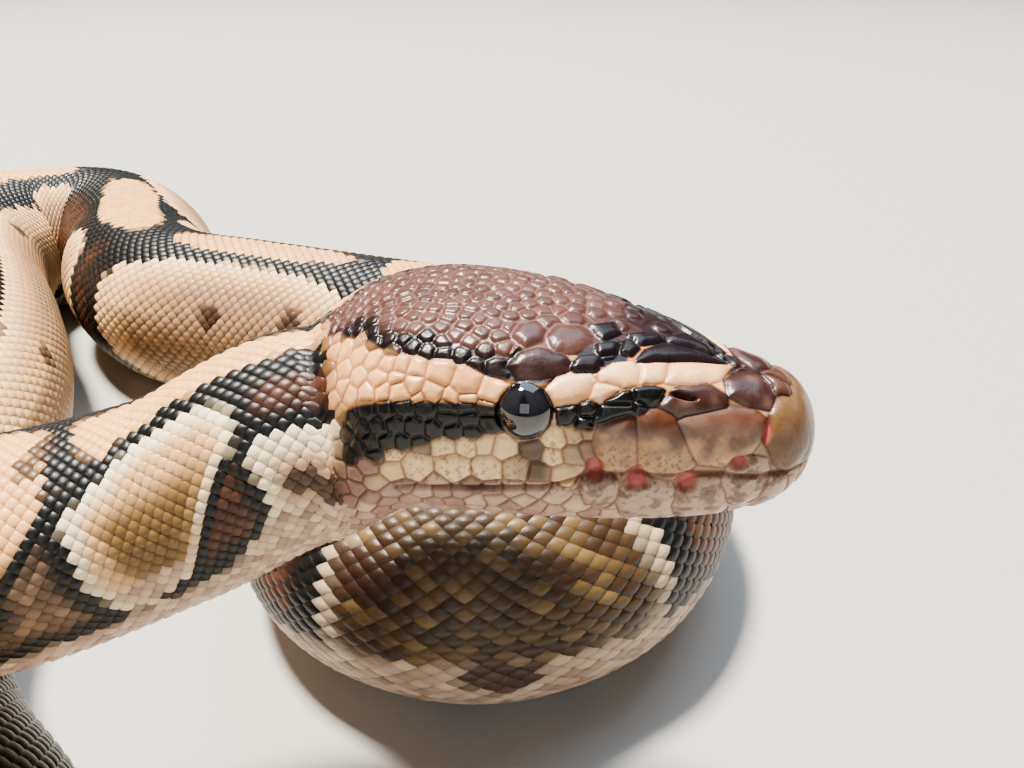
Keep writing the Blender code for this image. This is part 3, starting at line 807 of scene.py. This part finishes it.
SHIELD_SPREAD = 0.32  # how far a shield reaches over its outline
ROSTRAL = [kind for kind, _ in OUTLINES].index("rostral")
LEFT = 1000  # added to the number of a shield on the left side
SHIELD_DEEP = 3.2  # a place this far out of an outline's plane is not inside it
BEAD_SEED = 20261
DARTS = 60000  # random places tried for the small scales
MOST_BEADS = 4000
GROOVE = 0.30  # depth between two scales
EYE_RIM = 0.30  # height of the ring of scales round each eye


def left_turn(distance, turn):
    """Angle on the left side that answers to an angle on the right side."""
    middle = level(distance, HEAD_MIDLINE)
    return middle - (turn - middle) * (180 + middle) / (180 - middle)


def outline_gap(place, corners):
    """Gap in mm from places to an outline's edge, below 0 inside it, in the plane that fits it best."""
    middle = corners.mean(axis=0)
    axes = np.linalg.svd(corners - middle)[2]
    flat, start = (place - middle) @ axes[:2].T, (corners - middle) @ axes[:2].T
    edge = np.roll(start, -1, axis=0) - start
    offset = flat[:, None] - start
    share = np.clip((offset * edge).sum(-1) / (edge**2).sum(-1), 0, 1)
    gap = np.linalg.norm(offset - share[..., None] * edge, axis=-1).min(axis=1)
    above = offset[..., 1] >= 0
    crossed = (above != np.roll(above, -1, axis=1)) & (
        (offset[..., 0] - edge[:, 0] * offset[..., 1] / np.where(edge[:, 1] == 0, 1e-9, edge[:, 1])) < 0)
    off_plane = np.abs((place - middle) @ axes[2])
    inside = (crossed.sum(axis=1) % 2 == 1) & (off_plane < SHIELD_DEEP)
    return np.where(inside, -gap, gap + np.maximum(off_plane - 2.5, 0))


def large_shields(distance, place):
    """For each place: the large shield that it is on or nearest to, and its gap to that shield's edge.

    Shields reach a little over their outlines, and two that meet share the line half-way between.
    """
    best = np.full(place.shape[0], 9.0)
    which = np.full(place.shape[0], -1)
    second = best.copy()
    for k, (kind, corners) in enumerate(OUTLINES):
        at, turn = np.array(corners, float).T
        near = np.flatnonzero((distance > at.min() - 3) & (distance < at.max() + 3))
        for side, turns in enumerate((turn, left_turn(at, turn))):
            gap = outline_gap(place[near], on_snake(at, np.radians(turns), 0.0)) - SHIELD_SPREAD
            shield = ROSTRAL if kind == "rostral" else k + side * LEFT
            closer = gap < best[near]
            other = np.where(closer, best[near], gap)
            second[near] = np.where(which[near] == shield, second[near], np.minimum(second[near], other))
            best[near[closer]] = gap[closer]
            which[near[closer]] = shield
    return which, np.where(best < 0, -np.minimum(-best, (second - best) / 2), best)


def grain(place, size, seed):
    """Soft mottle from -1 to 1 with features of a size in mm: a sum of 14 waves in random directions."""
    draw = np.random.default_rng(seed)
    ways = draw.normal(size=(3, 14))
    ways *= draw.uniform(0.6, 1.5, 14) / np.linalg.norm(ways, axis=0)
    return np.sin(place @ ways * (np.pi / size) + draw.uniform(0, 6.28, 14)).sum(axis=-1) / 5.3


def bead_width(distance, turn):
    """Width in mm of the small scales: fine on the crown and nape, wider on the stripes and cheeks."""
    top, low = level(distance, STRIPE_TOP), level(distance, STRIPE_LOW)
    width = np.where(turn < top, np.interp(distance, (14, 20, 28, 50), (1.9, 1.7, 1.35, 1.35)), 2.15)
    for edge, wide in ((low, 1.95), (97, 1.75), (130, 2.4)):
        width = np.where(turn > edge, wide, width)
    return np.where(distance < 21, np.minimum(width, 1.7), width) * np.interp(distance, (42, 48), (1, 0.8))


def scatter_beads(distance, angle, place):
    """Seeded darts on the head's places: each is kept where it is a bead's width clear of all others.

    The single scales of the table come first, on both sides. Gives distance and angle, middle and
    radius of each scale.
    """
    draw = np.random.default_rng(BEAD_SEED)
    fixed = np.hstack([SHIELDS.T, SHIELDS.T])
    fixed[1, len(SHIELDS):] = left_turn(SHIELDS[:, 0], SHIELDS[:, 1])
    fixed[1] = np.radians(fixed[1])
    count = fixed.shape[1]
    found, radius, where = np.zeros((MOST_BEADS, 3)), np.zeros(MOST_BEADS), np.zeros((MOST_BEADS, 2))
    found[:count], radius[:count], where[:count] = on_snake(fixed[0], fixed[1], 0.0), fixed[2], fixed[:2].T
    darts = draw.integers(0, distance.size, DARTS)
    flat = place.reshape(-1, 3)
    width = bead_width(distance, right_side(distance, angle)).ravel()
    cover = large_shields(distance.ravel(), flat)[1]
    for dart in darts[cover[darts] > 0.38 * width[darts]]:
        gap = np.linalg.norm(found[:count] - flat[dart], axis=1)
        if (gap > 0.94 * radius[:count] + 0.43 * width[dart]).all() and count < MOST_BEADS:
            found[count], radius[count] = flat[dart], width[dart] * 0.5
            where[count] = distance.flat[dart], angle.flat[dart]
            count += 1
    return where[:count], found[:count], radius[:count]


def nearest_scale(place, middles, radius):
    """Scale that each place belongs to, and its distances in mm from the scale's border and middle.

    The scale is the one with the least (gap squared less radius squared); the border towards the
    next scale is where both are equal.
    """
    power = ((place[:, None] - middles) ** 2).sum(-1) - radius**2
    order = np.argpartition(power, 6, axis=1)[:, :7]
    order = np.take_along_axis(order, np.argsort(np.take_along_axis(power, order, 1), axis=1), 1)
    own, others = order[:, 0], order[:, 1:]
    reach = np.take_along_axis(power, others, 1) - np.take_along_axis(power, own[:, None], 1)
    apart = np.linalg.norm(middles[others] - middles[own][:, None], axis=2)
    border = reach / (2 * apart + 1e-6)
    return own, border.min(axis=1), np.linalg.norm(place - middles[own], axis=1)


PART_ROWS = 6  # the grids are worked through a few rows at a time
coarse_rows = even_steps(SNOUT + 0.01, 53, 0.4, even_turns(-180, 180, 24))
coarse_distance, coarse_turn = np.meshgrid(coarse_rows, np.radians(even_turns(-180, 180, 190)[:-1]),
                                           indexing="ij")
coarse_place = on_snake(coarse_distance, coarse_turn, 0.0)
bead_where, bead_middle, bead_radius = scatter_beads(coarse_distance, coarse_turn, coarse_place)
for relax in range(3):  # each bead moves to the middle of the places that belong to it
    sums = np.zeros((len(bead_where), 4))
    for row in range(0, len(coarse_rows), PART_ROWS):
        part = slice(row, row + PART_ROWS)
        place = coarse_place[part].reshape(-1, 3)
        close = np.abs(bead_where[:, 0] - coarse_rows[part].mean()) < 9
        own = np.flatnonzero(close)[nearest_scale(place, bead_middle[close], bead_radius[close])[0]]
        turn = coarse_turn[part].ravel()
        values = np.stack([coarse_distance[part].ravel(), np.sin(turn), np.cos(turn), np.ones_like(turn)], -1)
        np.add.at(sums, own, values)
    moved = (sums[:, 3] > 3) & (np.arange(len(sums)) >= 2 * len(SHIELDS))
    bead_where[moved, 0] = sums[moved, 0] / sums[moved, 3]
    bead_where[moved, 1] = np.arctan2(sums[moved, 1], sums[moved, 2])
    bead_middle[moved] = on_snake(bead_where[moved, 0], bead_where[moved, 1], 0.0)
shield_which, shield_gap = large_shields(coarse_distance.ravel(), coarse_place.reshape(-1, 3))
shield_reach = np.full(2 * LEFT, 0.5)  # from a shield's middle to its edge
np.maximum.at(shield_reach, shield_which, -shield_gap)
bead_draw = np.random.default_rng(BEAD_SEED + 1).random(len(bead_where))
bead_tint = head_tint(bead_where[:, 0], bead_where[:, 1], bead_draw)


def shield_tint(kind, corners, distance, turn, broad, fine):
    """Colours on a large shield, from its kind and two mottles from -1 to 1."""
    if kind == "lip":  # brown above and pale at the lip's edge
        lowness = smooth(min(c[1] for c in corners) + 2, 84, turn)
        return mix(mix(BROWN, LIP_BROWN, smooth(0.0, 0.5, lowness + 0.15 * broad)), LIP_PALE,
                   smooth(0.4, 1.15, lowness + 0.25 * broad + 0.1 * fine))
    if kind == "under":
        return mix(mix(SHADED_CHIN, CREAM, 0.25), LIP_BROWN, smooth(-0.45, 0.4, broad + 0.6 * fine) * 0.9)
    if kind in ("rostral", "nasal", "snout"):
        return mix(SHIELD_TINTS[kind], LIP_BROWN, smooth(-0.3, 0.9, broad) * 0.6)
    if kind == "cheek":
        return mix(SHIELD_TINTS[kind], CREAM, 0.25 + 0.2 * broad)
    if kind == "crown" and distance.mean() > 21:
        return mix(CROWN, CROWN_DARK, 0.35 + 0.25 * broad)
    if kind == "brow":
        return mix(CROWN_DARK, CROWN, 0.25 + 0.2 * broad)
    return SHIELD_TINTS[kind]


def head_relief(distance, angle):
    """Places and colours of the head's scales.

    From a scale's border inwards the surface rises by the groove's depth along a rounded slope to a
    nearly flat top. The slope is 0.85 of a large shield's reach, at most 1.5 mm wide, and 0.5 or 0.7
    of a bead's radius. A bead's top also follows a ball about its middle.
    """
    base = on_snake(distance, angle, 0.0)
    own, border, centre = np.zeros(distance.shape, int), np.zeros(distance.shape), np.zeros(distance.shape)
    for row in range(0, len(distance), PART_ROWS):
        part = slice(row, row + PART_ROWS)
        close = np.flatnonzero(np.abs(bead_where[:, 0] - distance[part].mean()) < 8)
        mine, edge, away = nearest_scale(base[part].reshape(-1, 3), bead_middle[close], bead_radius[close])
        own[part] = close[mine].reshape(own[part].shape)
        border[part] = edge.reshape(own[part].shape)
        centre[part] = away.reshape(own[part].shape)
    which, gap = (v.reshape(distance.shape) for v in large_shields(distance.ravel(), base.reshape(-1, 3)))
    large = gap < 0
    border = np.where(large, -gap, np.minimum(border, gap))
    radius = np.where(large, 2.5, bead_radius[own])
    turn = right_side(distance, angle)
    slope = np.where(large, np.minimum(1.5, 0.85 * shield_reach[which]),
                     np.where(turn > 60, 0.5, 0.7) * radius)
    dome = 1 - (1 - np.clip(border / slope, 0, 1)) ** 2.3
    roundness = np.where(turn < 60, 1.3, 1.6) * radius
    ball = np.sqrt(np.maximum(0, 1 - (centre / roundness) ** 2))
    dome = np.where(large, dome, np.minimum(dome, ball * 1.25))
    hollow, pit, nostril = hollows(distance, angle)
    puffy = np.where(large, 0.16, 0.10 * smooth(0.8, 1.8, radius))
    height = -GROOVE * (1 - dome) - hollow + puffy * dome
    end = smooth(49.0, 51.5, distance)
    height = height * (1 - end) - end * (HEAD_COAT + 0.1)  # sinks into the skin at the nape
    place = seat_eyes(on_snake(distance, angle, height), EYE_RIM)
    broad, fine = grain(base, 1.5, 3), grain(base, 0.42, 4)
    draw = bead_draw[own]
    tint = mix(bead_tint[own], head_tint(distance, angle, draw), 0.25)
    for k, (kind, corners) in enumerate(OUTLINES):
        on = large & (which % LEFT == k)
        if on.any():
            tint[on] = shield_tint(kind, corners, distance[on], turn[on], broad[on], fine[on])

    # darker, redder grooves; then speckles on the lips, the pits, the painted shade of the nostrils, and the
    # mouth line
    groove = tint * np.array([0.42, 0.30, 0.28])
    on_crown = smooth(3, -3, turn - level(distance, CROWN_LOW)) * smooth(19, 22, distance)
    groove = mix(groove, CROWN_GROOVE, 0.6 * on_crown)
    groove = mix(groove, CHIN_GROOVE, 0.7 * smooth(88, 96, turn) * smooth(46, 40, distance))
    tint = mix(groove, tint, smooth(0.02, 0.20, border))
    speckle = smooth(0.30, 0.62, grain(base, 0.27, 5) + 0.3 * broad) * band(turn, 74, 84, 99, 106)
    speckle = speckle * smooth(44, 38, distance) * np.where(large, 1, smooth(0.45, 0.7, draw))
    tint = mix(tint, mix(BROWN, BLACK, 0.3), 0.6 * speckle)
    tint = tint * (1 + 0.10 * broad + 0.06 * fine)[..., None]
    tint = mix(tint, PIT_RED, 0.9 * pit)
    # painted shade inside the nostril
    tint = mix(tint, NOSTRIL_SHADE, nostril)
    shut = smooth(0.35, 0.1, np.abs(mouth_gap(distance, angle))) * smooth(41, 36, distance)
    return place, mix(tint, LIP_LINE, 0.6 * shut)


scale_hide = hide_finish("head_scale_hide", 0.30, 0.25, 0.6)
for part, first, last, step in (("right_upper", 0, 74, 0.122), ("right_lower", 74, 180, 0.122),
                                ("left_upper", -74, 0, 0.16), ("left_lower", -180, -74, 0.16)):
    head_rows = even_steps(SNOUT + TIP_CLEAR, 52, step, even_turns(first, last, 13))
    girth = head_rings(even_turns(first, last, 60)).sum(axis=1).mean()
    turns = np.radians(even_turns(first, last, int(girth / step) + 2))
    distance, turn = np.meshgrid(head_rows, turns, indexing="ij")
    place, tint = head_relief(distance, turn)
    unwrap = np.stack([distance / 54, (turn - turns[0]) / (turns[-1] - turns[0])], -1) * 0.96 + 0.02
    pole = on_snake(np.array([SNOUT]), np.array([0.0]), 0.0)[0]
    piece = surface(f"head_scales_{part}", place, tint, unwrap, False, (pole, (0.01, 0.5)), None)
    piece.data.materials.append(scale_hide)
    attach(piece, "root")

# ---- Eyes. Round and almost black, each under a clear fixed scale, with a faint grey iris and an
# upright slit.
eye_gloss, s, shader = surface_material("eye_gloss")
tint = s.node("Attribute", 0, {"attribute_name": "tint"})
clouds = s.node("TexNoise", Vector=s.node("TexCoord", 3), Scale=1500.0, Detail=4.0)
feed(shader, "Base Color", s.node("VectorMath", 0, {"operation": "SCALE"}, i0=tint, Scale=0.6 + clouds * 0.8))
feed(shader, "Roughness", 0.035 + clouds * 0.02)
shader.inputs["Coat Weight"].default_value = 0.6
shader.inputs["Coat Roughness"].default_value = 0.02
for side, sign in (("right", 1), ("left", -1)):
    middle, look = eye_place(sign)
    high = np.array([0, 0, 1.0]) - look[2] * look
    high /= np.linalg.norm(high)
    flank = np.cross(high, look)
    polar, round_it = np.meshgrid(np.linspace(0.04, np.pi - 0.04, 48), np.linspace(0, 2 * np.pi, 65)[:-1],
                                  indexing="ij")
    spread, out = np.sin(polar) * EYE_RADIUS, np.cos(polar) * EYE_RADIUS
    flat, tall = spread * np.cos(round_it), spread * np.sin(round_it)
    eye = middle + flat[..., None] * flank + tall[..., None] * high + out[..., None] * look
    slit = np.hypot(flat / 0.35, tall / 1.5)
    iris = mix(rgb(6, 6, 8), rgb(30, 30, 34), smooth(0.9, 1.5, slit) * smooth(2.7, 1.9, spread))
    unwrap = 0.5 + 0.45 * (polar / np.pi)[..., None] * np.stack([np.cos(round_it), np.sin(round_it)], -1)
    ball = surface(f"eyeball_{side}", eye, iris, unwrap, True,
                   (middle + EYE_RADIUS * look, (0.5, 0.5)), (middle - EYE_RADIUS * look, (0.97, 0.5)))
    ball.data.materials.append(eye_gloss)
    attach(ball, "root")
    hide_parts(f"eye_{side}")

# ---- Scales of the body. Smooth domed lozenges in half-offset rows, each lying over the front of the
# next towards the tail. They grow with the body, and are stretched or crowded a little in bends.
SCALE_ROWS = 67  # rows from one side of the belly over the back to the other
BELLY_TURN = 131.0  # degrees from the back where the wide belly plates take over
SCALE_PITCH = 0.120  # distance between rings of scales, in body radii
SCALE_POWER = 1.5  # outline: 1 is a lozenge and 2 an oval
SCALE_LENGTH = 1.09  # half length and half width against those of a lozenge that tiles
SCALE_WIDTH = 0.985
SCALE_THICK = 0.46  # mm at a body radius of 20 mm or more
SCALE_LAP = 0.22  # share of it by which the top falls off less towards the tail
SCALE_SEED = 411
WALK = 0.5  # mm between the stations that rings are measured at
BELL = 14.0  # mm; bends longer than this keep their rings square to the backbone
BELL_STEPS = 80


def ring_places():
    """Distances of the rings of scales for a table of angles, and the local radius of each ring.

    Rings are a fixed share of the radius apart. In a short tight bend they are spread evenly over
    the surface itself; over a long bend they stay square to the backbone.
    """
    walk = np.arange(47.0, snake_length - 0.3, WALK)
    turns = np.radians(np.arange(-180, 181, 5))
    line = on_snake(walk[:, None], turns[None], 0.0)
    length = np.vstack([0 * turns, np.cumsum(np.linalg.norm(np.diff(line, axis=0), axis=2), axis=0)])
    extra = length - (walk - walk[0])[:, None]
    bell = np.exp(-(np.arange(-BELL_STEPS, BELL_STEPS + 1) * WALK / BELL) ** 2)
    bell /= bell.sum()
    padded = np.pad(extra, ((BELL_STEPS, BELL_STEPS), (0, 0)), mode="reflect", reflect_type="odd")
    slow = np.stack([np.convolve(column, bell, mode="valid") for column in padded.T], -1)
    even = np.maximum.accumulate(walk[:, None] + extra - slow, axis=0)
    radius = half_width(walk)
    count = np.r_[0, np.cumsum(WALK / np.maximum(SCALE_PITCH * radius[:-1], 0.55))]
    halves = np.arange(0, 2 * int(count[-1])) / 2
    at = np.interp(halves, count, walk)
    rings = np.stack([np.interp(at, even[:, k], walk) for k in range(len(turns))], -1)
    return rings, turns, np.interp(at, walk, radius)


def scale_outline(sides, shares):
    """Lozenge with rounded corners about (0, 0), as rings at shares of its size: x to the tail."""
    way = np.arange(sides) * 2 * np.pi / sides
    size = (np.abs(np.cos(way) / SCALE_LENGTH) ** SCALE_POWER
            + np.abs(np.sin(way) / SCALE_WIDTH) ** SCALE_POWER) ** (-1 / SCALE_POWER)
    rings = [np.zeros((1, 3))] + [np.stack([share * size * np.cos(way), share * size * np.sin(way),
                                            np.full(sides, share)], -1) for share in shares]
    here = np.arange(sides)
    after = (here + 1) % sides
    faces = [np.stack([0 * here, 1 + here, 1 + after], -1)]
    for k in range(len(shares) - 1):
        a, b = 1 + k * sides + here, 1 + k * sides + after
        faces += [np.stack([a, a + sides, b + sides], -1), np.stack([a, b + sides, b], -1)]
    return np.vstack(rings), np.vstack(faces)


ring_table, ring_turns, ring_radius = ring_places()
row_turns = np.linspace(-BELLY_TURN, BELLY_TURN, SCALE_ROWS)
half_rings = np.arange(2, len(ring_table) - 2)
ring, row = np.meshgrid(half_rings, np.arange(SCALE_ROWS), indexing="ij")
scale_here = (ring + row) % 2 == 0
ring, row = ring[scale_here], row[scale_here]
scale_turn = np.radians(row_turns[row])
column, fraction = np.divmod((scale_turn - ring_turns[0]) / (ring_turns[1] - ring_turns[0]), 1)
column = column.astype(int)


def ring_distance(k):
    """Distance of ring k (a whole array) at each scale's own row."""
    return ring_table[k, column] * (1 - fraction) + ring_table[k, column + 1] * fraction


scale_distance = ring_distance(ring)
scale_half = (ring_distance(ring + 1) - ring_distance(ring - 1)) / 2
scale_radius = ring_radius[ring]
scale_draw = np.random.default_rng(SCALE_SEED).random(len(ring))
# towards the tail tip every other row, then three of four, are left out, and the rest grow wider
thin_out = np.where(scale_radius < 9.0, 2, 1) * np.where(scale_radius < 4.5, 2, 1)
STRETCHES = (46, 112, 250, 372, 478, 586, 690, 790, 900)  # one mesh from each to the next
body_hide = hide_finish("body_scale_hide", 0.39, 0.22, 0.6)


def body_scales(name, start, end, sides, shares):
    """All scales of one stretch as one mesh.

    Each is the outline carried to its place on the body. Its top falls off with the third power
    of the share of its size, less towards the tail, so that each scale laps over the next one.
    """
    shape, faces = scale_outline(sides, shares)
    keep = (scale_distance >= start) & (scale_distance < end)
    row_left, ring_left = (row - SCALE_ROWS // 2) % (2 * thin_out), ring % (2 * thin_out)
    keep &= (thin_out == 1) | ((row_left == ring_left) & ((row_left == 0) | (row_left == thin_out)))
    grow = thin_out[keep][:, None]
    unit = (scale_radius[keep] / 20)[:, None] * grow
    x, y, share = shape.T[:, None]
    draw = scale_draw[keep][:, None]
    size = 0.96 + 0.08 * draw
    distance = scale_distance[keep][:, None] + x * scale_half[keep][:, None] * grow * size
    half_turn = np.radians(row_turns[1] - row_turns[0])
    turn = scale_turn[keep][:, None] + y * half_turn * grow * size
    thick = np.minimum(SCALE_THICK * unit, SCALE_THICK) * (0.9 + 0.2 * draw)
    height = -0.03 + 0.05 * unit * x - thick * share**3 * (0.80 - SCALE_LAP * x)
    tint = body_tint(scale_distance[keep], scale_turn[keep], scale_draw[keep])
    # each scale darkens towards its rim: painted shade at the edges where scales meet and overlap
    tint = tint[:, None] * (1 - 0.36 * smooth(0.72, 1.0, share))[..., None]
    u = (scale_distance[keep] - start) / (end - start) * 0.97 + 0.015
    v = scale_turn[keep] / FULL_TURN + 0.5
    unwrap = np.stack([u[:, None] + 0.0015 * x, v[:, None] + 0.0015 * y], -1)
    corners = (faces.ravel() + (np.arange(keep.sum()) * len(shape))[:, None]).ravel()
    piece = mesh_piece(name, on_snake(distance, turn, height), corners, np.full(len(corners) // 3, 3),
                       tint, unwrap)
    piece.data.materials.append(body_hide)
    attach(piece, "root")


body_scales("body_scales_1", *STRETCHES[:2], 10, (0.5, 0.8, 1.0))  # next to the head, and finer
for k in range(1, len(STRETCHES) - 1):
    body_scales(f"body_scales_{k + 1}", *STRETCHES[k:k + 2], 8, (0.55, 1.0))

# ---- Belly plates. One row of wide, smooth plates under the body, each with its back edge lying over
# the next one. They carry the snake's weight, so they are flat where they touch the ground.
PLATE_EDGE = 49.0  # half width in degrees from the middle of the belly
PLATE_COLUMNS = 15
# Along a plate: places from front (-1) to back (1), and depths under the body's outline (mm)
PLATE_ALONG = np.array([-1.0, -0.9, -0.2, 0.5, 0.98, 1.12])
PLATE_FALLS = np.array([0.30, 0.17, 0.09, 0.03, 0.02, 0.34])
per_column = len(PLATE_ALONG)
plate_rings = np.arange(3, len(ring_table) - 3, 2)
line = ring_table[plate_rings]
plate_at = line.mean(axis=1)
plate_gap = (ring_table[plate_rings + 1, 0] - ring_table[plate_rings - 1, 0]) / 2
plate_draw = np.random.default_rng(SCALE_SEED + 1).random(len(plate_rings))
across, along = np.meshgrid(np.linspace(-1, 1, PLATE_COLUMNS), PLATE_ALONG, indexing="ij")
across, along = across.ravel(), along.ravel()
a = (np.arange(PLATE_COLUMNS - 1)[:, None] * per_column + np.arange(per_column - 1)).ravel()
plate_faces = np.stack([a, a + 1, a + per_column + 1, a + per_column], -1)
plate_turn = np.pi + across * np.radians(PLATE_EDGE)
signed = np.mod(plate_turn + np.pi, 2 * np.pi) - np.pi
spot = (signed - ring_turns[0]) / (ring_turns[1] - ring_turns[0])
left = np.clip(spot.astype(int), 0, len(ring_turns) - 2)
plate_middle = line[:, left] * (1 - (spot - left)) + line[:, left + 1] * (spot - left)
taper = 1 - 0.25 * np.abs(across) ** 3
plate_distance = plate_middle + along * taper * plate_gap[:, None]
rim = smooth(0.93, 1.0, np.abs(across)) * 0.22
shallow = np.minimum(1, ring_radius[plate_rings] / 8)[:, None]
plate_height = -(np.tile(PLATE_FALLS, PLATE_COLUMNS) + rim) * shallow
plate_tint = body_tint(plate_distance, np.broadcast_to(signed, plate_distance.shape),
                       np.broadcast_to(plate_draw[:, None], plate_distance.shape))
plate_tint = plate_tint * (1 - 0.45 * (along > 1.0) - 0.2 * (along < -0.95))[None, :, None]
plate_corners = (plate_faces.ravel() + (np.arange(len(plate_rings)) * len(along))[:, None]).ravel()
plate_unwrap = np.stack([(plate_at / snake_length * 0.97 + 0.015)[:, None] + 0.0012 * along,
                         0.5 + 0.45 * across + 0 * plate_at[:, None]], -1)
belly = mesh_piece("belly_plates", on_snake(plate_distance, plate_turn[None], plate_height), plate_corners,
                   np.full(len(plate_corners) // 4, 4), plate_tint, plate_unwrap)
belly.data.materials.append(body_hide)
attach(belly, "root")
